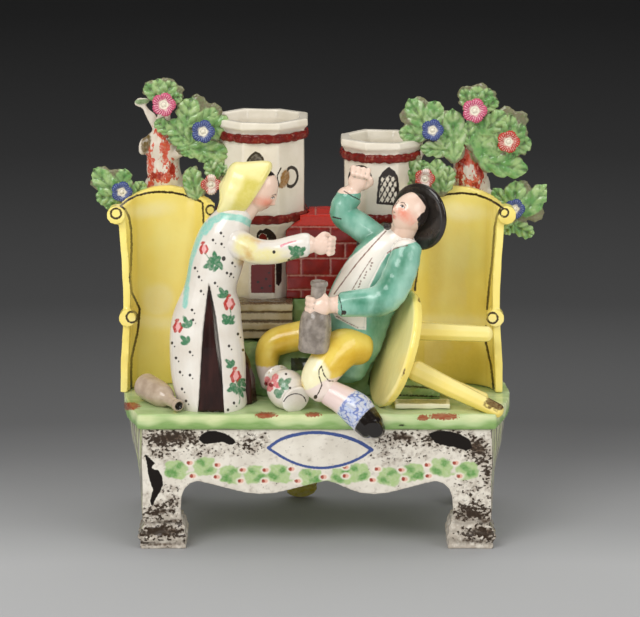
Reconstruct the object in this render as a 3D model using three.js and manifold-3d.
// Staffordshire earthenware figure group on a four-legged table base, in millimetres, +Z up.
// Positions: x from the middle of the base, y back from the face of the front wall, z up from the table.
// Heights above the base's green top are written as h and start at its upper face.
import * as THREE from 'three';
import { mergeVertices } from 'three/addons/utils/BufferGeometryUtils.js';
import Module from 'manifold-3d';

const wasm = await Module();
wasm.setup();

// Fit between fired pieces
const CLEARANCE = 0.3;

// Table base
const BASE_WIDTH = 165;
const BASE_DEPTH = 84;
const END_BOW = 9;
const WALL_THICKNESS = 5;
const UNDERSIDE_HEIGHT = 59;
const SLAB_THICKNESS = 7.5;
const SLAB_OVERHANG = 1.8;
const LEG_WIDTH = 18;
const BACK_LEG_WIDTH = 11.5;
const SIDE_LEG_WIDTH = 17;
const LEG_TAPER = 2.5;
const APRON_ARCH_HEIGHT = 33.5;
const APRON_LOBE_HEIGHT = 27;
const CUSP_OFFSET = 4.5;
const FOOT_HEIGHT = 14;
const FOOT_FLARE = 3;
const BACK_TONGUE_WIDTH = 17;
const BACK_TONGUE_CLEARANCE = 1;
const BACK_TONGUE_OFFSET = -8;

// Settees
const SETTEE_OUTER_REACH = 89;
const SETTEE_INNER_REACH = 49.5;
const SETTEE_OFFSET = -2.6;
const SETTEE_HEIGHT = 98;
const SETTEE_CREST_DROP = 6.5;
const SETTEE_THICKNESS = 3.6;
const SETTEE_BACK_DEPTH = 55;
const SETTEE_WING_LENGTH = 19;
const SEAT_HEIGHT = 33;
const SEAT_SWELL = 2.2;
const CREST_SCROLL_RADIUS = 4.4;
const ARM_SCROLL_RADIUS = 4.2;
const SCROLL_LENGTH = 8;

// Trees
const TRUNK_WIDTH = 19;
const TRUNK_DEPTH = 13;
const TRUNK_RISE = 43;
const TRUNK_INSET = 16;
const TRUNK_STAND_OFF = 2;
const TWIG_RADIUS = 2;
const TWIG_ARCH = 1.5;
const LEAF_THICKNESS = 4;
const LEAF_STAND_OFF = 4;
const LOW_LEAF_SETBACK = 4;
const FLOWER_THICKNESS = 3.4;

// Tower vases
const TOWER_DEPTH_PLACE = 65;
const LEFT_TOWER_PLACE = -26.8;
const LEFT_TOWER_RIM_HEIGHT = 131;
const LEFT_TOWER_HALF_WIDTH = 20.5;
const RIGHT_TOWER_PLACE = 31.3;
const RIGHT_TOWER_RIM_HEIGHT = 121;
const RIGHT_TOWER_HALF_WIDTH = 18;
const TOWER_WALL = 3.6;
const TOWER_STEM_INSET = 6.5;
const TOWER_CORBEL_HEIGHT = 80;
const BAND_HEIGHT = 5;
const BAND_THICKNESS = 2;
const BAND_CRIMPS = 16;

// Hearth between the towers
const HEARTH_SET_FORWARD = 14;
const HEARTH_THICKNESS = 21;
const HEARTH_BOTTOM = 43.5;
const HEARTH_TOP = 85;
const HEARTH_ROUNDING = 8;
const HEARTH_SIDE_GAP = 12;
const MOUND_FRONT_DEPTH = 31;
const MOUND_HALF_WIDTH = 41;
const STEP_HEIGHT = 4.6;
const STEP_COUNT = 4;
const STEP_WIDTH = 26;
const STEP_DEPTH = 8;

// Overturned table
const TABLE_RADIUS = 29;
const TABLE_THICKNESS = 4.4;
const TABLE_LEG_ROOT_RADIUS = 4.4;
const TABLE_LEG_TIP_RADIUS = 2.3;

// Vessels
const HELD_BOTTLE_RADIUS = 7.5;
const HELD_BOTTLE_LENGTH = 34;
const HELD_BOTTLE_NECK_RADIUS = 3.7;
const FALLEN_BOTTLE_RADIUS = 6.2;
const FALLEN_BOTTLE_LENGTH = 31;
const BOTTLE_MOUTH_RADIUS = 1.7;
const JUG_RADIUS = 9.3;
const JUG_LENGTH = 22;

// Figures
const HEAD_HALF_HEIGHT = 10.5;
const HEAD_HALF_WIDTH = 8.2;
const HAT_BRIM_RADIUS = 14.5;
const HAT_BRIM_THICKNESS = 2;
const HAT_CROWN_RADIUS = 8.6;
const HAT_CROWN_HEIGHT = 10;

const SLAB_TOP = UNDERSIDE_HEIGHT + SLAB_THICKNESS;
const HEARTH_FRONT = TOWER_DEPTH_PLACE - HEARTH_SET_FORWARD;
const HEARTH_BACK = HEARTH_FRONT + HEARTH_THICKNESS;
const WALL_TOP = UNDERSIDE_HEIGHT - CLEARANCE;
const ON_SLAB = CLEARANCE;
const DEEP = new THREE.Vector3(0, 1, 0);
const UP = new THREE.Vector3(0, 0, 1);

const at = (x, y, h) => new THREE.Vector3(x, y, SLAB_TOP + h);
const mix = (a, b, t) => a + (b - a) * t;

// A geometry with only positions, shared vertices merged and the faces turned outwards.
function welded(geometry) {
  const bare = new THREE.BufferGeometry();
  const loose = geometry.index ? geometry.toNonIndexed() : geometry;
  bare.setAttribute('position', loose.getAttribute('position').clone());
  const merged = mergeVertices(bare, 1e-4);
  return facingOut(withoutSlivers(merged));
}

// Triangles that lost a corner when vertices merged are dropped.
function withoutSlivers(geometry) {
  const kept = [];
  const index = geometry.index.array;
  for (let i = 0; i < index.length; i += 3) {
    const [a, b, c] = [index[i], index[i + 1], index[i + 2]];
    if (a !== b && b !== c && c !== a) kept.push(a, b, c);
  }
  return geometry.setIndex(kept);
}

function facingOut(geometry) {
  const p = geometry.getAttribute('position');
  const index = geometry.index.array;
  const [a, b, c] = [new THREE.Vector3(), new THREE.Vector3(), new THREE.Vector3()];
  let volume = 0;
  for (let i = 0; i < index.length; i += 3) {
    a.fromBufferAttribute(p, index[i]);
    b.fromBufferAttribute(p, index[i + 1]);
    c.fromBufferAttribute(p, index[i + 2]);
    volume += a.dot(b.cross(c));
  }
  if (volume >= 0) return geometry;
  const turned = [];
  for (let i = 0; i < index.length; i += 3) turned.push(index[i], index[i + 2], index[i + 1]);
  return geometry.setIndex(turned);
}

function geometryFrom(vertices, triangles) {
  const geometry = new THREE.BufferGeometry();
  geometry.setAttribute('position', new THREE.Float32BufferAttribute(vertices, 3));
  geometry.setIndex(triangles);
  return welded(geometry);
}

// The shape grown outwards by a gap: each vertex moves along its mitred normal.
function grown(geometry, gap) {
  const p = geometry.getAttribute('position');
  const index = geometry.index.array;
  const sums = Array.from({ length: p.count }, () => new THREE.Vector3());
  const faces = Array.from({ length: p.count }, () => []);
  const [a, b, c] = [new THREE.Vector3(), new THREE.Vector3(), new THREE.Vector3()];
  for (let i = 0; i < index.length; i += 3) {
    const corners = [index[i], index[i + 1], index[i + 2]];
    [a, b, c].forEach((v, k) => v.fromBufferAttribute(p, corners[k]));
    const normal = b.clone().sub(a).cross(c.clone().sub(a));
    if (normal.lengthSq() < 1e-12) continue;
    normal.normalize();
    corners.forEach((corner, k) => {
      const here = [a, b, c][k];
      const next = [a, b, c][(k + 1) % 3].clone().sub(here);
      const last = [a, b, c][(k + 2) % 3].clone().sub(here);
      sums[corner].addScaledVector(normal, next.angleTo(last));
      faces[corner].push(normal);
    });
  }
  const out = new THREE.BufferGeometry();
  const moved = new Float32Array(p.count * 3);
  for (let i = 0; i < p.count; i += 1) {
    const direction = sums[i].normalize();
    const least = Math.min(...faces[i].map((face) => face.dot(direction)));
    const reach = gap / Math.max(least, 0.45);
    a.fromBufferAttribute(p, i).addScaledVector(direction, reach).toArray(moved, i * 3);
  }
  out.setAttribute('position', new THREE.BufferAttribute(moved, 3));
  return out.setIndex([...index]);
}

function solidOf(geometry) {
  return new wasm.Manifold(new wasm.Mesh({
    numProp: 3,
    vertProperties: new Float32Array(geometry.getAttribute('position').array),
    triVerts: new Uint32Array(geometry.index.array),
  }));
}

function geometryOf(solid) {
  const made = solid.getMesh();
  return geometryFrom(Array.from(made.vertProperties), Array.from(made.triVerts));
}

// The largest body of a cut piece: crumbs that a cut leaves behind are not part of it.
function largestBody(geometry) {
  const index = geometry.index.array;
  const parent = Array.from({ length: geometry.getAttribute('position').count }, (_, i) => i);
  const root = (i) => {
    let node = i;
    while (parent[node] !== node) node = parent[node];
    return node;
  };
  for (let i = 0; i < index.length; i += 3) {
    parent[root(index[i])] = root(index[i + 1]);
    parent[root(index[i + 1])] = root(index[i + 2]);
  }
  const bodies = new Map();
  for (let i = 0; i < index.length; i += 3) {
    const key = root(index[i]);
    if (!bodies.has(key)) bodies.set(key, []);
    bodies.get(key).push(index[i], index[i + 1], index[i + 2]);
  }
  const sizes = [...bodies.values()].sort((x, y) => spanOf(geometry, y) - spanOf(geometry, x));
  return geometryFrom(Array.from(geometry.getAttribute('position').array), sizes[0]);
}

function spanOf(geometry, corners) {
  const p = geometry.getAttribute('position');
  const box = new THREE.Box3();
  const v = new THREE.Vector3();
  corners.forEach((i) => box.expandByPoint(v.fromBufferAttribute(p, i)));
  return box.getSize(v).length();
}

// A closed skin over rings of the same number of points, with a middle point at each end.
function skinned(rings, endPoints) {
  const sides = rings[0].length;
  const vertices = rings.flat().flatMap((v) => [v.x, v.y, v.z]);
  const triangles = [];
  for (let r = 0; r + 1 < rings.length; r += 1) {
    for (let s = 0; s < sides; s += 1) {
      const [a, b] = [r * sides + s, r * sides + ((s + 1) % sides)];
      triangles.push(a, b, a + sides, b, b + sides, a + sides);
    }
  }
  const first = vertices.length / 3;
  endPoints.forEach((v) => vertices.push(v.x, v.y, v.z));
  const top = (rings.length - 1) * sides;
  for (let s = 0; s < sides; s += 1) {
    triangles.push(first, (s + 1) % sides, s, first + 1, top + s, top + ((s + 1) % sides));
  }
  return geometryFrom(vertices, triangles);
}

// A limb or body: oval rings round the given centres. Each station is a place, then the half
// thickness across the path and the half thickness into the picture. Round ends add a dome.
function limb(stations, { sides = 10, roundStart = true, roundEnd = true } = {}) {
  const places = stations.map(([x, y, h]) => at(x, y, h));
  const ring = (centre, along, half, deep, scale) => {
    const inward = DEEP.clone().addScaledVector(along, -DEEP.dot(along)).normalize();
    const across = inward.clone().cross(along).normalize();
    return Array.from({ length: sides }, (_, s) => {
      const angle = (s / sides) * Math.PI * 2;
      return centre.clone()
        .addScaledVector(across, Math.cos(angle) * half * scale)
        .addScaledVector(inward, Math.sin(angle) * deep * scale);
    });
  };
  const heading = places.map((_, i) => {
    const before = places[Math.max(i - 1, 0)];
    const after = places[Math.min(i + 1, places.length - 1)];
    return after.clone().sub(before).normalize();
  });
  const rings = places.map((place, i) => ring(place, heading[i], stations[i][3], stations[i][4], 1));
  const dome = (i, sign) => {
    const [, , , half, deep] = stations[i];
    const rise = Math.min(half, deep) * 0.75 * sign;
    const step = (t) => places[i].clone().addScaledVector(heading[i], rise * t);
    return { shoulder: ring(step(0.62), heading[i], half, deep, 0.74), tip: step(1) };
  };
  const last = places.length - 1;
  const start = dome(0, -1);
  const end = dome(last, 1);
  if (roundStart) rings.unshift(start.shoulder);
  if (roundEnd) rings.push(end.shoulder);
  return skinned(rings, [roundStart ? start.tip : places[0], roundEnd ? end.tip : places[last]]);
}

function turned(profile, segments, place, axis, twist = 0) {
  const points = profile.map(([radius, along]) => new THREE.Vector2(radius, along));
  const geometry = new THREE.LatheGeometry(points, segments, twist);
  const turn = new THREE.Quaternion().setFromUnitVectors(DEEP, axis.clone().normalize());
  return welded(geometry.applyQuaternion(turn).translate(place.x, place.y, place.z));
}

function ball(place, halves, lean = new THREE.Quaternion()) {
  const geometry = new THREE.SphereGeometry(1, 12, 9).rotateX(Math.PI / 2);
  geometry.scale(...halves).applyQuaternion(lean).translate(place.x, place.y, place.z);
  return welded(geometry);
}

// An outline in x and height, extruded back from a plane.
function prismBack(shape, front, depth, curveSegments = 5) {
  const geometry = new THREE.ExtrudeGeometry(shape, { depth, bevelEnabled: false, curveSegments });
  return welded(geometry.rotateX(Math.PI / 2).translate(0, front + depth, 0));
}

// An outline in depth and height, extruded across.
function prismAcross(points, left, right) {
  const shape = new THREE.Shape(points.map(([y, z]) => new THREE.Vector2(y, z)));
  const geometry = new THREE.ExtrudeGeometry(shape, { depth: right - left, bevelEnabled: false });
  geometry.rotateX(Math.PI / 2).rotateZ(Math.PI / 2).translate(left, 0, 0);
  return welded(geometry);
}

// An outline in plan, extruded up.
function prismUp(points, low, high) {
  const shape = new THREE.Shape(points.map(([x, y]) => new THREE.Vector2(x, y)));
  const geometry = new THREE.ExtrudeGeometry(shape, { depth: high - low, bevelEnabled: false });
  return welded(geometry.translate(0, 0, low));
}

function block(low, high) {
  const size = high.clone().sub(low);
  const middle = low.clone().add(high).multiplyScalar(0.5);
  return welded(new THREE.BoxGeometry(size.x, size.y, size.z).translate(middle.x, middle.y, middle.z));
}

const group = new THREE.Group();
const placed = [];

// Joins a piece's shapes, fits it round the pieces made before it with the clearance between
// fired parts, and adds it as its own mesh. cutaways are holes and hollows of its own.
function place(name, shapes, colour, { roughness = 0.28, cutaways = [] } = {}) {
  let solid = shapes.map(solidOf).reduce((whole, next) => whole.add(next));
  cutaways.forEach((tool) => { solid = solid.subtract(solidOf(tool)); });
  const reach = shapes.reduce((box, shape) => {
    shape.computeBoundingBox();
    return box.union(shape.boundingBox);
  }, new THREE.Box3());
  placed.forEach((other) => {
    if (other.box.intersectsBox(reach)) solid = solid.subtract(other.grown);
  });
  const material = new THREE.MeshStandardMaterial({ color: colour, roughness, metalness: 0 });
  const mesh = new THREE.Mesh(largestBody(geometryOf(solid)), material);
  mesh.geometry.computeVertexNormals();
  mesh.name = name;
  group.add(mesh);
  shapes.forEach((shape) => {
    const skin = grown(shape, CLEARANCE);
    skin.computeBoundingBox();
    placed.push({ grown: solidOf(skin), box: skin.boundingBox });
  });
}

const PEARLWARE = 0xded6c8;
const GREEN = 0x96be78;
const YELLOW = 0xf2d873;
const TRUNK_WHITE = 0xe1d7c8;
const LEAF_GREEN = 0x6e965a;
const BAND_RED = 0x7d231e;
const BRICK_RED = 0x8c1a14;
const COAT_GREEN = 0x5fa587;
const SKIN = 0xebc8af;
const BLACK_BROWN = 0x322d2d;
const STONEWARE = 0xa59b91;

// Base

// How far the ends of the base bow out at a depth, from the front corner to the back corner.
const endBow = (y) => END_BOW * Math.sin((Math.PI * THREE.MathUtils.clamp(y, 0, BASE_DEPTH)) / BASE_DEPTH);

function basePlan(grow) {
  const half = BASE_WIDTH / 2 + grow;
  const stops = 8;
  const right = Array.from({ length: stops + 1 }, (_, i) => {
    const y = (i / stops) * BASE_DEPTH;
    return [half + endBow(y), mix(-grow, BASE_DEPTH + grow, i / stops)];
  });
  const left = right.map(([x, y]) => [-x, y]).reverse();
  return [...right, ...left];
}

// One bracket leg's inner edge, from the foot up to where the apron begins.
function bracket(shape, side, inner) {
  const ankle = FOOT_HEIGHT - 2;
  if (side < 0) {
    shape.lineTo(-inner, ankle);
    shape.bezierCurveTo(-inner - 2, 26, -inner + 1, APRON_ARCH_HEIGHT - 1, -inner + 8, APRON_ARCH_HEIGHT);
  } else {
    shape.bezierCurveTo(inner - 1, APRON_ARCH_HEIGHT - 1, inner + 2, 26, inner, ankle);
  }
}

function frontOutline() {
  const half = BASE_WIDTH / 2;
  const inner = half - LEG_WIDTH;
  const lobe = inner * 0.42;
  const shape = new THREE.Shape();
  shape.moveTo(-half, WALL_TOP);
  shape.lineTo(-half + LEG_TAPER, FOOT_HEIGHT - 2);
  bracket(shape, -1, inner);
  shape.bezierCurveTo(-inner + 20, 31, -lobe - 10, APRON_LOBE_HEIGHT, -lobe, APRON_LOBE_HEIGHT);
  shape.bezierCurveTo(-lobe + 11, APRON_LOBE_HEIGHT, CUSP_OFFSET - 9, 32, CUSP_OFFSET, APRON_ARCH_HEIGHT);
  shape.bezierCurveTo(CUSP_OFFSET + 8, 32, lobe - 11, APRON_LOBE_HEIGHT, lobe, APRON_LOBE_HEIGHT);
  shape.bezierCurveTo(lobe + 10, APRON_LOBE_HEIGHT, inner - 20, 31, inner - 8, APRON_ARCH_HEIGHT);
  bracket(shape, 1, inner);
  shape.lineTo(half - LEG_TAPER, FOOT_HEIGHT - 2);
  shape.lineTo(half, WALL_TOP);
  return shape;
}

function backOutline() {
  const half = BASE_WIDTH / 2;
  const inner = half - BACK_LEG_WIDTH;
  const tongue = BACK_TONGUE_WIDTH / 2;
  const shape = new THREE.Shape();
  shape.moveTo(-half, WALL_TOP);
  shape.lineTo(-half + LEG_TAPER, FOOT_HEIGHT - 2);
  bracket(shape, -1, inner);
  shape.lineTo(BACK_TONGUE_OFFSET - tongue - 3, APRON_ARCH_HEIGHT);
  shape.lineTo(BACK_TONGUE_OFFSET - tongue, tongue);
  shape.quadraticCurveTo(
    BACK_TONGUE_OFFSET - tongue, BACK_TONGUE_CLEARANCE, BACK_TONGUE_OFFSET, BACK_TONGUE_CLEARANCE,
  );
  shape.quadraticCurveTo(
    BACK_TONGUE_OFFSET + tongue, BACK_TONGUE_CLEARANCE, BACK_TONGUE_OFFSET + tongue, tongue,
  );
  shape.lineTo(BACK_TONGUE_OFFSET + tongue + 3, APRON_ARCH_HEIGHT);
  shape.lineTo(inner - 8, APRON_ARCH_HEIGHT);
  bracket(shape, 1, inner);
  shape.lineTo(half - LEG_TAPER, FOOT_HEIGHT - 2);
  shape.lineTo(half, WALL_TOP);
  return shape;
}

// A stepped foot that flares out at the table: three square rings round the leg's corner.
function flaredFoot(cornerX, cornerY, outX, outY, legWidth) {
  const flares = [[0, FOOT_FLARE * 0.4], [FOOT_HEIGHT / 2, FOOT_FLARE], [FOOT_HEIGHT, -2]];
  const rings = flares.map(([z, flare]) => {
    const outer = cornerX + outX * flare;
    const face = cornerY + outY * (flare * 0.5 + 0.5);
    const inner = cornerX - outX * (legWidth + 1.5 + flare * 0.4);
    const rear = cornerY - outY * (SIDE_LEG_WIDTH + flare * 0.4);
    return [[outer, face], [inner, face], [inner, rear], [outer, rear]]
      .map(([x, y]) => new THREE.Vector3(x, y, z));
  });
  const middle = (ring) => ring.reduce((sum, v) => sum.add(v), new THREE.Vector3()).multiplyScalar(0.25);
  return skinned(rings, [middle(rings[0]), middle(rings[2])]);
}

// Where the lower edge of an end wall runs: down each leg, up under a bracket and down to a lobe.
function endEdge() {
  const leg = SIDE_LEG_WIDTH;
  const half = BASE_DEPTH / 2;
  const near = [
    [0, FOOT_HEIGHT - 2], [leg - 2, FOOT_HEIGHT - 2], [leg, 25], [leg + 3, 31.5],
    [leg + 9, APRON_ARCH_HEIGHT], [half - 8, APRON_ARCH_HEIGHT - 2.5], [half, APRON_LOBE_HEIGHT],
  ];
  const far = near.slice(0, -1).map(([y, z]) => [BASE_DEPTH - y, z]).reverse();
  return [...near, ...far];
}

// An end wall of the base: it bows out under the slab and draws in towards its lower edge.
function endWall(side) {
  const levels = [0, 0.5, 1];
  const skin = (inset) => levels.map((level) => endEdge().map(([y, edge]) => {
    const z = mix(edge, WALL_TOP, level);
    const bow = endBow(y) * THREE.MathUtils.smoothstep(z, 12, UNDERSIDE_HEIGHT);
    return new THREE.Vector3(side * (BASE_WIDTH / 2 + bow - inset), y, z);
  }));
  return sheet(skin(0), skin(WALL_THICKNESS));
}

function addBase() {
  place('base_slab', [prismUp(basePlan(SLAB_OVERHANG), UNDERSIDE_HEIGHT, SLAB_TOP)], GREEN);
  const cornerX = BASE_WIDTH / 2;
  place('base_front', [
    prismBack(frontOutline(), 0, WALL_THICKNESS),
    flaredFoot(-cornerX, 0, -1, -1, LEG_WIDTH),
    flaredFoot(cornerX, 0, 1, -1, LEG_WIDTH),
  ], PEARLWARE);
  place('base_back', [
    prismBack(backOutline(), BASE_DEPTH - WALL_THICKNESS, WALL_THICKNESS),
    flaredFoot(-cornerX, BASE_DEPTH, -1, 1, BACK_LEG_WIDTH),
    flaredFoot(cornerX, BASE_DEPTH, 1, 1, BACK_LEG_WIDTH),
  ], PEARLWARE);
  [['left', -1], ['right', 1]].forEach(([word, side]) => {
    place(`base_${word}`, [endWall(side)], PEARLWARE);
  });
}

// Tower vases

const cornerRadius = (halfWidth) => halfWidth / Math.cos(Math.PI / 8);

// An eight-sided tower with a hollow for spills: half widths are measured across the flats.
function tower(x, rimHeight, halfWidth) {
  const stem = halfWidth - TOWER_STEM_INSET;
  const hollow = halfWidth - TOWER_WALL;
  const corbel = TOWER_CORBEL_HEIGHT;
  const profile = [
    [0, ON_SLAB], [stem + 2, ON_SLAB], [stem, 12], [stem, corbel - 8], [halfWidth, corbel + 1],
    [halfWidth, rimHeight - 5], [halfWidth + 1.8, rimHeight - 3], [halfWidth + 1.6, rimHeight],
    [hollow + 1.2, rimHeight], [hollow, rimHeight - 4], [hollow, corbel + 6],
    [stem - TOWER_WALL, corbel - 4], [stem - TOWER_WALL, HEARTH_BOTTOM], [0, HEARTH_BOTTOM],
  ];
  const outline = profile.map(([half, h]) => [half ? cornerRadius(half) : 0, h]);
  return turned(outline, 8, at(x, TOWER_DEPTH_PLACE, 0), UP, Math.PI / 8);
}

// A pressed clay strip round a tower, nipped into crimps.
function crimpedBand(x, halfWidth, h) {
  const steps = BAND_CRIMPS * 2;
  const rings = [];
  for (let s = 0; s < steps; s += 1) {
    const angle = (s / steps) * Math.PI * 2;
    const turn = Math.PI / 4;
    const offFlat = ((angle + turn / 2) % turn) - turn / 2;
    const flat = (halfWidth + CLEARANCE) / Math.cos(offFlat);
    const bulge = BAND_THICKNESS * (s % 2 ? 1 : 0.6);
    const point = (radius, lift) => at(
      x + Math.cos(angle) * radius, TOWER_DEPTH_PLACE + Math.sin(angle) * radius, h + lift,
    );
    rings.push([
      point(flat, 0), point(flat + bulge, BAND_HEIGHT * 0.2),
      point(flat + bulge, BAND_HEIGHT * 0.8), point(flat, BAND_HEIGHT),
    ]);
  }
  const sides = rings[0].length;
  const vertices = rings.flat().flatMap((v) => [v.x, v.y, v.z]);
  const triangles = [];
  for (let r = 0; r < steps; r += 1) {
    const next = ((r + 1) % steps) * sides;
    for (let s = 0; s < sides; s += 1) {
      const t = (s + 1) % sides;
      triangles.push(r * sides + s, r * sides + t, next + s, r * sides + t, next + t, next + s);
    }
  }
  return geometryFrom(vertices, triangles);
}

function addTowers() {
  [
    ['left', LEFT_TOWER_PLACE, LEFT_TOWER_RIM_HEIGHT, LEFT_TOWER_HALF_WIDTH],
    ['right', RIGHT_TOWER_PLACE, RIGHT_TOWER_RIM_HEIGHT, RIGHT_TOWER_HALF_WIDTH],
  ].forEach(([word, x, rim, half]) => {
    place(`vase_${word}`, [tower(x, rim, half)], PEARLWARE);
    place(`vase_${word}_upper_band`, [crimpedBand(x, half, rim - 5.3 - BAND_HEIGHT)], BAND_RED);
    place(`vase_${word}_lower_band`, [crimpedBand(x, half, TOWER_CORBEL_HEIGHT + 1.5)], BAND_RED);
  });
}

// Settees

// A tall bowed wall: its plan runs from the inner edge round to the outer wing.
function setteeWall(side) {
  const back = SETTEE_BACK_DEPTH;
  const wing = back - SETTEE_WING_LENGTH;
  const inner = SETTEE_INNER_REACH;
  const outer = SETTEE_OUTER_REACH;
  const plan = new THREE.CatmullRomCurve3([
    [inner, back - 11], [inner + 4.5, back - 4], [inner + 14, back], [outer - 13, back],
    [outer - 5, back - 4.5], [outer - 1.5, back - 11], [outer, wing],
  ].map(([x, y]) => new THREE.Vector3(side * x, y, 0)));
  const middle = (inner + outer) / 2;
  const columns = 10;
  const rows = 7;
  const skin = (offset) => Array.from({ length: rows + 1 }, (_, r) => (
    Array.from({ length: columns + 1 }, (__, c) => {
      const u = c / columns;
      const place2d = plan.getPoint(u);
      const tangent = plan.getTangent(u);
      const outward = new THREE.Vector3(-tangent.y, tangent.x, 0).normalize().multiplyScalar(side);
      const spread = (Math.abs(place2d.x) - middle) / ((outer - inner) / 2);
      const crest = SETTEE_HEIGHT - SETTEE_CREST_DROP * spread * spread;
      const h = mix(ON_SLAB, crest, r / rows);
      const belowSeat = THREE.MathUtils.smoothstep(SEAT_HEIGHT - h, -3, 3);
      const swell = -SEAT_SWELL * belowSeat * (1 - u * u);
      const lean = Math.max(h - SEAT_HEIGHT, 0) * 0.03;
      const waist = -side * 2.2 * u ** 4 * Math.sin((Math.PI * h) / SETTEE_HEIGHT) ** 2;
      const x = place2d.x + waist + SETTEE_OFFSET;
      return at(x, place2d.y + swell + lean * (1 - u), h).addScaledVector(outward, offset);
    })
  ));
  return sheet(skin(0), skin(SETTEE_THICKNESS));
}

// Two matching grids of points closed round their edges into one thick sheet.
function sheet(front, back) {
  const rows = front.length;
  const columns = front[0].length;
  const vertices = [...front.flat(), ...back.flat()].flatMap((v) => [v.x, v.y, v.z]);
  const id = (layer, r, c) => layer * rows * columns + r * columns + c;
  const triangles = [];
  const quad = (a, b, c, d) => triangles.push(a, b, c, a, c, d);
  for (let r = 0; r + 1 < rows; r += 1) {
    for (let c = 0; c + 1 < columns; c += 1) {
      quad(id(0, r, c), id(0, r, c + 1), id(0, r + 1, c + 1), id(0, r + 1, c));
      quad(id(1, r, c), id(1, r + 1, c), id(1, r + 1, c + 1), id(1, r, c + 1));
    }
    quad(id(0, r, 0), id(0, r + 1, 0), id(1, r + 1, 0), id(1, r, 0));
    const last = columns - 1;
    quad(id(0, r, last), id(1, r, last), id(1, r + 1, last), id(0, r + 1, last));
  }
  for (let c = 0; c + 1 < columns; c += 1) {
    quad(id(0, 0, c), id(1, 0, c), id(1, 0, c + 1), id(0, 0, c + 1));
    quad(id(0, rows - 1, c), id(0, rows - 1, c + 1), id(1, rows - 1, c + 1), id(1, rows - 1, c));
  }
  return geometryFrom(vertices, triangles);
}

function scroll(side, reach, front, h, radius) {
  const profile = [[0, 0], [radius, 0], [radius, SCROLL_LENGTH], [0, SCROLL_LENGTH]];
  return turned(profile, 10, at(side * reach + SETTEE_OFFSET, front, h), DEEP);
}

function addSettees() {
  [['left', -1], ['right', 1]].forEach(([word, side]) => {
    const front = SETTEE_BACK_DEPTH - SETTEE_WING_LENGTH - 1.5;
    const crest = SETTEE_OUTER_REACH + CREST_SCROLL_RADIUS - 0.4;
    const arm = SETTEE_OUTER_REACH - 0.6;
    const crestHeight = SETTEE_HEIGHT - SETTEE_CREST_DROP - 3.5;
    place(`settee_${word}`, [
      setteeWall(side),
      scroll(side, crest, front, crestHeight, CREST_SCROLL_RADIUS),
      scroll(side, arm, front, SEAT_HEIGHT + 4.5, ARM_SCROLL_RADIUS),
    ], YELLOW);
  });
}

// Hearth and ground

function addHearth() {
  const middle = (LEFT_TOWER_PLACE + RIGHT_TOWER_PLACE) / 2;
  const [low, high] = [SLAB_TOP + HEARTH_BOTTOM, SLAB_TOP + HEARTH_TOP];
  const half = (RIGHT_TOWER_PLACE - LEFT_TOWER_PLACE) / 2 - HEARTH_SIDE_GAP;
  const outline = new THREE.Shape();
  outline.moveTo(middle - half, low + CLEARANCE);
  outline.lineTo(middle + half, low + CLEARANCE);
  outline.lineTo(middle + half, high - HEARTH_ROUNDING);
  outline.quadraticCurveTo(middle + half, high, middle + half - HEARTH_ROUNDING, high);
  outline.lineTo(middle - half + HEARTH_ROUNDING, high);
  outline.quadraticCurveTo(middle - half, high, middle - half, high - HEARTH_ROUNDING);
  place('hearth_bricks', [
    prismBack(outline, HEARTH_FRONT, HEARTH_THICKNESS),
  ], BRICK_RED);

  const stepBase = HEARTH_BOTTOM - STEP_COUNT * STEP_HEIGHT;
  const stepFront = HEARTH_FRONT - STEP_DEPTH;
  const risers = [];
  for (let i = 0; i < STEP_COUNT; i += 1) {
    const h = SLAB_TOP + stepBase + i * STEP_HEIGHT;
    const nose = stepFront - (i % 2 ? 1.2 : 0);
    risers.push([nose + 1.2, h], [nose, h + 0.8], [nose, h + STEP_HEIGHT - 0.8]);
  }
  const stepTop = SLAB_TOP + HEARTH_BOTTOM;
  const stepRear = HEARTH_FRONT + 6;
  const stepSide = [
    ...risers, [stepFront + 1, stepTop], [stepRear, stepTop], [stepRear, SLAB_TOP + stepBase],
  ];
  const stepLeft = LEFT_TOWER_PLACE - STEP_WIDTH / 2;
  place('hearth_steps', [prismAcross(stepSide, stepLeft + 2, stepLeft + 2 + STEP_WIDTH)], PEARLWARE);

  const [front, rise] = [MOUND_FRONT_DEPTH, SLAB_TOP + ON_SLAB];
  const ridge = SLAB_TOP + stepBase - CLEARANCE;
  const mound = prismAcross([
    [front, rise], [front + 1, rise + 9], [front + 7, ridge - 3], [stepFront - 3, ridge],
    [HEARTH_FRONT - 2, ridge], [HEARTH_FRONT, SLAB_TOP + HEARTH_BOTTOM - CLEARANCE],
    [HEARTH_BACK - 1, SLAB_TOP + HEARTH_BOTTOM - CLEARANCE], [HEARTH_BACK + 1, rise],
  ], -MOUND_HALF_WIDTH, MOUND_HALF_WIDTH);
  const ledge = prismAcross([
    [front - 8, rise], [front - 7, rise + 4.5], [front - 4, rise + 5], [front - 3, rise + 8.5],
    [front + 6, rise + 9], [front + 7, rise],
  ], MOUND_HALF_WIDTH - 4, MOUND_HALF_WIDTH + 18);
  place('ground_mound', [mound, ledge], GREEN);
}

// Trees

const TREES = [['left', -1], ['right', 1]];
const treeX = (side) => side * (SETTEE_OUTER_REACH - TRUNK_INSET) + SETTEE_OFFSET / 2;
const leafPlane = SETTEE_BACK_DEPTH - LEAF_STAND_OFF;

// Where each twig leaves its trunk, above the settee's crest, and where it ends: beside the trunk,
// above the crest, set back.
const TWIGS = {
  left: [[18, 17, 29, 0], [9, 29, 12, 0], [-4, 14.5, 2, 0], [-7, -22, 0, LOW_LEAF_SETBACK]],
  right: [
    [18, -14, 29, 0], [4, -18, 6, 0], [10, 20, 26, 0], [6, 14, 14, 0], [-7, 27, -8, LOW_LEAF_SETBACK],
  ],
};

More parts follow.
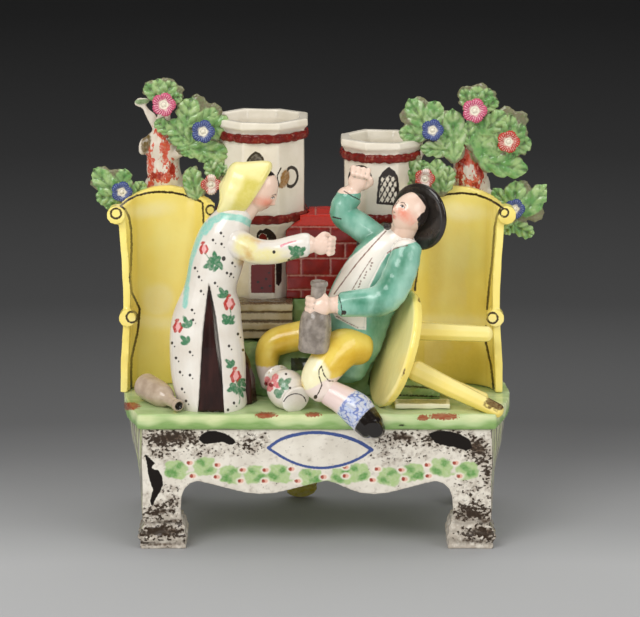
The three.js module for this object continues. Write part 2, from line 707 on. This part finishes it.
function addTrunks() {
  TREES.forEach(([word, side]) => {
    const x = treeX(side);
    const y = SETTEE_BACK_DEPTH + SETTEE_THICKNESS + TRUNK_DEPTH / 2 + TRUNK_STAND_OFF;
    const leafBack = leafPlane + LEAF_THICKNESS;
    const crest = SETTEE_HEIGHT;
    const [half, deep] = [TRUNK_WIDTH / 2, TRUNK_DEPTH / 2];
    const column = limb([
      [x, y, ON_SLAB, half * 1.35, deep], [x, y, 12, half * 1.1, deep * 0.95],
      [x, y, 60, half * 0.95, deep * 0.95], [x, y - 1, crest - 6, half, deep],
      [x + side, y - 4, crest + 14, half * 0.74, deep * 0.85],
      [x - side, y - 8, crest + 26, half * 0.55, deep * 0.7],
      [x - side * 2, leafBack + 1, crest + TRUNK_RISE, half * 0.4, deep * 0.5],
    ], { sides: 9, roundStart: false });
    const twigs = TWIGS[word].map(([from, beside, to, setback]) => {
      const tip = leafBack + setback + TWIG_RADIUS * 0.4;
      const start = [x + Math.sign(beside) * half * 0.3, y - 3, crest + from];
      const rise = crest + mix(from, to, 0.5) + TWIG_ARCH;
      const middle = [mix(start[0], x + beside, 0.5), mix(start[1], tip, 0.6), rise];
      return limb([
        [...start, TWIG_RADIUS * 1.7, TWIG_RADIUS * 1.6], [...middle, TWIG_RADIUS * 1.4, TWIG_RADIUS * 1.3],
        [x + beside, tip, crest + to, TWIG_RADIUS, TWIG_RADIUS],
      ], { sides: 6 });
    });
    const bare = side > 0 ? [] : [limb([
      [x - 1, y - 5, crest + 14, 3.6, 3.4], [x - 7, y - 8, crest + 27, 2.6, 2.4],
      [x - 13, y - 9, crest + 40, 1.8, 1.8],
    ], { sides: 6 })];
    place(`tree_${word}`, [column, ...twigs, ...bare], TRUNK_WHITE);
  });
}

// A moulded disc with lobes round its edge, domed in front and flat behind, facing the viewer.
function lobedDisc({ x, h, front, wide, tall, lobes, notch, turn = 0, thickness, boss = 0 }) {
  const spokes = lobes * 4;
  const centre = at(x, front, h);
  const edge = (s, scale, depth) => {
    const angle = (s / spokes) * Math.PI * 2;
    const lobe = 1 - notch * (1 - Math.abs(Math.cos((angle * lobes) / 2)));
    const [across, rise] = [Math.cos(angle) * wide * lobe * scale, Math.sin(angle) * tall * lobe * scale];
    const [cos, sin] = [Math.cos(turn), Math.sin(turn)];
    const turned = new THREE.Vector3(across * cos - rise * sin, depth, across * sin + rise * cos);
    return centre.clone().add(turned);
  };
  const ring = (scale, depth) => Array.from({ length: spokes }, (_, s) => edge(s, scale, depth));
  const heart = boss ? [ring(0.34, -boss * 0.6)] : [];
  const rings = [...heart, ring(0.86, 0.2), ring(1, thickness * 0.5), ring(0.92, thickness)];
  const face = centre.clone().add(new THREE.Vector3(0, boss ? -boss : 0, 0));
  return skinned(rings, [face, centre.clone().add(new THREE.Vector3(0, thickness, 0))]);
}

// Flowers lie against the front of the leaves. Places are beside the trunk and above the crest.
function addFlowers() {
  const flower = (word, side, name, beside, rise, radius, colour, setback = 0) => place(
    `flower_${word}_${name}`,
    [lobedDisc({
      x: treeX(side) + beside, h: SETTEE_HEIGHT + rise,
      front: leafPlane - FLOWER_THICKNESS - CLEARANCE + setback, wide: radius, tall: radius,
      lobes: 5, notch: 0.22, turn: Math.PI / 10, thickness: FLOWER_THICKNESS, boss: 0.9,
    })],
    colour,
  );
  const [pink, blue, red] = [0xd75a82, 0x4b5a96, 0xcd4632];
  flower('left', -1, 'pink', 1.4, 40.9, 5.8, pink);
  flower('left', -1, 'blue', 20, 27.9, 5.7, blue);
  flower('left', -1, 'red', 23.6, 2.2, 5, red);
  flower('left', -1, 'low_blue', -19.5, -2.2, 5.2, blue, LOW_LEAF_SETBACK);
  flower('right', 1, 'pink', 3.5, 38, 6, pink);
  flower('right', 1, 'blue', -16.5, 28.6, 5.4, blue);
  flower('right', 1, 'red', 19.8, 23, 5.5, red);
  flower('right', 1, 'low_red', -20, 5.1, 5, red);
  flower('right', 1, 'low_blue', 23.6, -10.5, 5, blue, LOW_LEAF_SETBACK);
}

function addLeaves() {
  const spray = (word, side, name, leaves, setback = 0) => place(
    `leaf_${word}_${name}`,
    leaves.map(([beside, rise, wide, tall, turn, lobes]) => lobedDisc({
      x: treeX(side) + beside, h: SETTEE_HEIGHT + rise, front: leafPlane + setback,
      wide, tall, lobes, turn, notch: 0.28, thickness: LEAF_THICKNESS,
    })),
    LEAF_GREEN,
  );
  spray('left', -1, 'top', [[0.8, 47.5, 10.4, 6.2, 0, 5]]);
  spray('left', -1, 'main', [[18.8, 34.6, 13.4, 10.2, -0.5, 6], [16.3, 21.5, 14.5, 8, -0.15, 6]]);
  spray('left', -1, 'inner', [[30.5, 12.8, 9.6, 6.2, 0.4, 5]]);
  spray('left', -1, 'small', [[14.7, 2.6, 5.4, 8.2, 0, 5]]);
  spray('left', -1, 'low', [[-23.7, 1.3, 12.8, 8.6, -0.35, 5]], LOW_LEAF_SETBACK);
  spray('right', 1, 'top', [[4.7, 45.3, 9.8, 5.6, 0, 5]]);
  spray('right', 1, 'inner', [[-21.7, 34, 11, 10.6, 0.5, 5], [-8.7, 27.5, 8.6, 11, -0.2, 6]]);
  spray('right', 1, 'outer', [[20.7, 29.8, 10.4, 10.4, 0.6, 5]]);
  spray('right', 1, 'main', [[7.8, 21.8, 8.8, 11.2, 0.1, 6], [19.8, 11.3, 11, 6, -0.25, 5]]);
  spray('right', 1, 'low_inner', [[-25.7, 8.5, 9.2, 8, 0.2, 5], [-13.7, 3, 9, 8.4, 0, 5]]);
  spray('right', 1, 'low', [[28.7, -8.6, 11.8, 12, 0.5, 5]], LOW_LEAF_SETBACK);
}

// Overturned table

const TABLE_FACE = new THREE.Vector3(-0.932, -0.195, 0.307).normalize();
const TABLE_CENTRE = at(35.4, 18, TABLE_RADIUS - 1.4);

function addTable() {
  const edge = TABLE_THICKNESS * 0.3;
  const disc = turned([
    [0, 0], [TABLE_RADIUS - edge, 0], [TABLE_RADIUS, edge],
    [TABLE_RADIUS - edge, TABLE_THICKNESS], [0, TABLE_THICKNESS],
  ], 28, TABLE_CENTRE, TABLE_FACE.clone().negate());
  place('table_top', [disc], YELLOW);
  const [root, tip] = [TABLE_LEG_ROOT_RADIUS, TABLE_LEG_TIP_RADIUS];
  const leg = (name, from, to) => {
    const middle = from.map((value, i) => mix(value, to[i], 0.5));
    place(name, [limb([
      [...from, root, root], [...middle, mix(root, tip, 0.45), mix(root, tip, 0.45)], [...to, tip, tip],
    ], { sides: 8 })], YELLOW);
  };
  leg('table_leg_upper', [41, 24, 36], [80.5, 33, 30]);
  leg('table_leg_lower', [40, 17, 19.5], [88.5, -2.5, 2]);
  leg('table_leg_back', [39, 27, 15], [80.5, 31, 3]);
  const tablet = block(at(37, 7, ON_SLAB), at(63, 16, 2.6));
  place('fallen_tablet', [tablet], PEARLWARE);
}

// Vessels

function bottleProfile(radius, length, neck, mouth) {
  return [
    [0, 0], [radius * 0.9, 0], [radius, 1.2], [radius, length * 0.52], [neck + 0.4, length * 0.74],
    [neck, length * 0.88], [neck + 0.6, length * 0.92], [neck + 0.5, length - 0.4], [neck, length],
    [mouth, length], [mouth, length - 6], [0, length - 6],
  ];
}

function addHeldBottle() {
  const profile = bottleProfile(
    HELD_BOTTLE_RADIUS, HELD_BOTTLE_LENGTH, HELD_BOTTLE_NECK_RADIUS, BOTTLE_MOUTH_RADIUS + 0.8,
  );
  const bottle = turned(profile, 14, at(-1.6, 8.5, 28.3), new THREE.Vector3(0.08, 0, 1));
  place('held_bottle', [bottle], STONEWARE, { roughness: 0.5 });
}

function addFallenBottle() {
  const profile = bottleProfile(
    FALLEN_BOTTLE_RADIUS, FALLEN_BOTTLE_LENGTH, FALLEN_BOTTLE_RADIUS * 0.45, BOTTLE_MOUTH_RADIUS,
  );
  const lying = new THREE.Vector3(0.56, -0.82, -0.11);
  const bottle = turned(profile, 12, at(-82.5, 27, FALLEN_BOTTLE_RADIUS + 0.5), lying);
  place('fallen_bottle', [bottle], 0xc8b4a0, { roughness: 0.5 });
}

function addJug() {
  const radius = JUG_RADIUS;
  const foot = radius * 0.64;
  const profile = [
    [0, 0], [foot, 0], [foot, 1.6], [foot - 0.5, 2], [radius * 0.86, 5.5], [radius, JUG_LENGTH * 0.45],
    [radius * 0.93, JUG_LENGTH * 0.7], [radius * 0.72, JUG_LENGTH * 0.9], [radius * 0.68, JUG_LENGTH],
    [radius * 0.4, JUG_LENGTH + 1.6], [0, JUG_LENGTH + 2],
  ];
  const jug = turned(profile, 14, at(-9.6, 2.6, 5.6), new THREE.Vector3(-0.42, 0.78, 0.28));
  place('floral_jug', [jug], 0xf0ebe4);
}

// Woman

function addWoman() {
  const skirtX = -50.5;
  const petticoatCone = limb([
    [skirtX, 17.5, ON_SLAB, 12, 12], [skirtX, 17.5, 24, 12.6, 11.5], [skirtX, 17.5, 46, 8, 8],
  ], { sides: 9, roundStart: false });
  const gore = (spread, proud) => skinned([
    [-56, -43.6, 1.9, ON_SLAB], [-53.6, -47.2, 2.6, 31], [-51.1, -50.7, 6.6, 61],
  ].map(([left, right, near, h], i) => {
    const h2 = h + (i - 1) * spread;
    const [west, east] = [left - spread, right + spread];
    return [at(west, near - proud, h2), at(east, near - proud, h2), at(east, 14, h2), at(west, 14, h2)];
  }), [at(-50, 9, ON_SLAB - spread), at(-50.9, 10, 61 + spread)]);
  const fold = limb([
    [-34, 21, ON_SLAB, 5.2, 7], [-34.5, 21, 12, 5, 7], [-37, 20, 25, 3, 5],
  ], { sides: 7, roundStart: false });
  place('woman_petticoat', [petticoatCone, gore(0, 0), fold], 0x412d2a);

  const gown = limb([
    [-48.6, 16.5, ON_SLAB, 15, 15.4], [-50.3, 16.5, 6, 17, 15.8], [-51.6, 17, 18, 18, 15.8],
    [-52.3, 17, 36, 17.3, 15], [-51, 17.5, 48, 15.2, 13], [-50, 17.5, 58, 12.2, 11.6],
    [-47.5, 17.5, 69, 12.6, 12], [-44, 17.5, 80, 12.2, 11.4], [-40.3, 18, 87.5, 10, 9.5],
    [-36.5, 19, 93, 7.2, 7.2],
  ], { sides: 14, roundStart: false });
  const farArm = limb([
    [-43, 27, 80, 6.2, 6], [-51, 31, 69, 5.6, 5.4], [-52, 33, 62, 5.2, 5], [-46, 32, 56, 4.6, 4.4],
    [-42, 29, 54.5, 4, 4],
  ], { sides: 8 });
  place('woman_gown', [gown, farArm], 0xf0ebe4, { cutaways: [gore(CLEARANCE, 6)] });

  const tilt = new THREE.Quaternion().setFromAxisAngle(DEEP, 0.42);
  const face = ball(at(-27.4, 19.5, 103.4), [8.6, HEAD_HALF_WIDTH, HEAD_HALF_HEIGHT], tilt);
  const nape = limb([[-36.5, 19, 91, 6, 6], [-31, 19.3, 98, 6, 6]], { sides: 8 });
  place('woman_head', [face, nape], SKIN);

  const hood = limb([
    [-41.6, 19.5, 92.4, 5.6, 8.2], [-40, 19.5, 97, 8, 9.8], [-37, 19.5, 103, 11, 10.8],
    [-33, 19.5, 108.4, 12, 10.4], [-30, 19.5, 111.4, 10.6, 9],
  ], { sides: 12 });
  const opening = new THREE.BoxGeometry(30, 40, 60).translate(15, 0, 0);
  opening.applyQuaternion(new THREE.Quaternion().setFromAxisAngle(DEEP, 0.56));
  opening.translate(-25.6, 19.5, SLAB_TOP + 106);
  place('woman_bonnet', [hood], YELLOW, { cutaways: [welded(opening)] });

  place('woman_arm', [limb([
    [-37.5, 11, 79.5, 6.6, 6], [-29, 8.5, 76.6, 6.1, 6], [-20, 8, 76.2, 5.7, 5.5], [-11, 8, 78.4, 5.3, 5.1],
    [-5, 8, 79.7, 5.3, 5.1], [-3.6, 8, 79.8, 3.9, 3.9], [1, 8, 79.4, 4.7, 4.9], [5.4, 8, 79, 5.1, 5.3],
  ])], 0xf0ebe4);
}

// Man

function addMan() {
  place('man_body', [limb([
    [14.5, 26, 14, 9.5, 8], [15.6, 27, 26, 14.9, 11.5], [20.8, 26.5, 46, 16.2, 11.8],
    [29.4, 26, 62, 16, 11.4], [35.6, 25.5, 73, 13.8, 9.8], [39, 25.5, 79, 8.4, 7.4],
  ], { sides: 14 })], COAT_GREEN);

  const crownAxis = new THREE.Vector3(0.69, 0.6, 0.34).normalize();
  const lean = new THREE.Quaternion().setFromUnitVectors(UP, crownAxis);
  const head = ball(at(44.2, 25, 91.3), [HEAD_HALF_WIDTH, 9, HEAD_HALF_HEIGHT], lean);
  const neck = limb([[38.5, 25.5, 78, 6.4, 6], [42, 25, 86, 6.4, 6]], { sides: 8 });
  place('man_head', [head, neck], SKIN);

  const [brim, crown] = [HAT_BRIM_RADIUS, HAT_CROWN_RADIUS];
  const hat = turned([
    [0, 0], [brim, -0.6], [brim + 0.6, HAT_BRIM_THICKNESS / 2], [brim, HAT_BRIM_THICKNESS],
    [crown + 1, HAT_BRIM_THICKNESS + 0.6], [crown, HAT_CROWN_HEIGHT * 0.7], [crown * 0.7, HAT_CROWN_HEIGHT],
    [0, HAT_CROWN_HEIGHT + 0.6],
  ], 16, at(48.4, 29.5, 90.6), crownAxis);
  place('man_hat', [hat], BLACK_BROWN);

  place('man_arm_raised', [limb([
    [30, 29, 76.5, 7, 7], [20, 33, 83.5, 6.7, 6.4], [13, 35, 88, 6.4, 6.2], [13, 35.5, 93, 6.1, 6],
    [16, 36, 97.5, 5.8, 5.8], [17.4, 36, 99.6, 4.3, 4.2], [19.4, 36, 103, 5.6, 5],
    [20.6, 36, 108.5, 5.2, 4.7],
  ])], COAT_GREEN);

  place('man_arm_lower', [limb([
    [42.5, 14, 76.5, 7, 6.6], [40, 11, 68, 7.6, 7], [34.5, 9, 56.5, 7.8, 7], [28, 8.5, 52.3, 7.4, 6.8],
    [20, 8.5, 51.5, 6.6, 6.1], [11.5, 8.5, 50.8, 5.8, 5.6], [8.5, 8.5, 50.7, 4.7, 4.7],
    [3, 8.5, 50.3, 6.3, 6.8], [-2, 8.5, 50, 6, 6.6],
  ])], COAT_GREEN);

  place('man_leg_near', [limb([
    [20, 21, 28, 9.5, 8.5], [12, 15.5, 27.5, 9.6, 9], [3.5, 8.5, 20, 8.8, 8.2], [0.5, 6, 14.5, 8, 7.6],
    [3.5, 5, 10, 7, 6.8],
  ])], YELLOW);

  place('man_boot', [limb([
    [6, 4.2, 9, 6.2, 6], [12, 2.2, 6.2, 6.9, 6.6], [18.5, -1, 2.4, 8, 7.2], [22.4, -4, -1.6, 7.2, 6.6],
    [25.6, -6.2, -4.6, 6.6, 6],
  ])], 0xe8e4ee);

  place('man_leg_far', [limb([
    [10, 31, 33, 7.6, 7.4], [-8, 33, 29.5, 7.2, 7], [-21, 33, 25.4, 6.8, 6.8], [-24, 31, 17, 5.6, 5.6],
    [-22, 28.5, 7.5, 5.2, 5.2],
  ])], YELLOW);
}

addBase();
addTowers();
addSettees();
addTable();
addHearth();
addTrunks();
addHeldBottle();
addWoman();
addMan();
addJug();
addFallenBottle();
addFlowers();
addLeaves();

// The group's own origin is the middle of its footprint on the table.
const extent = new THREE.Box3().setFromObject(group);
const middle = extent.getCenter(new THREE.Vector3());
group.children.forEach((mesh) => mesh.position.set(-middle.x, -middle.y, -extent.min.z));

export default group;
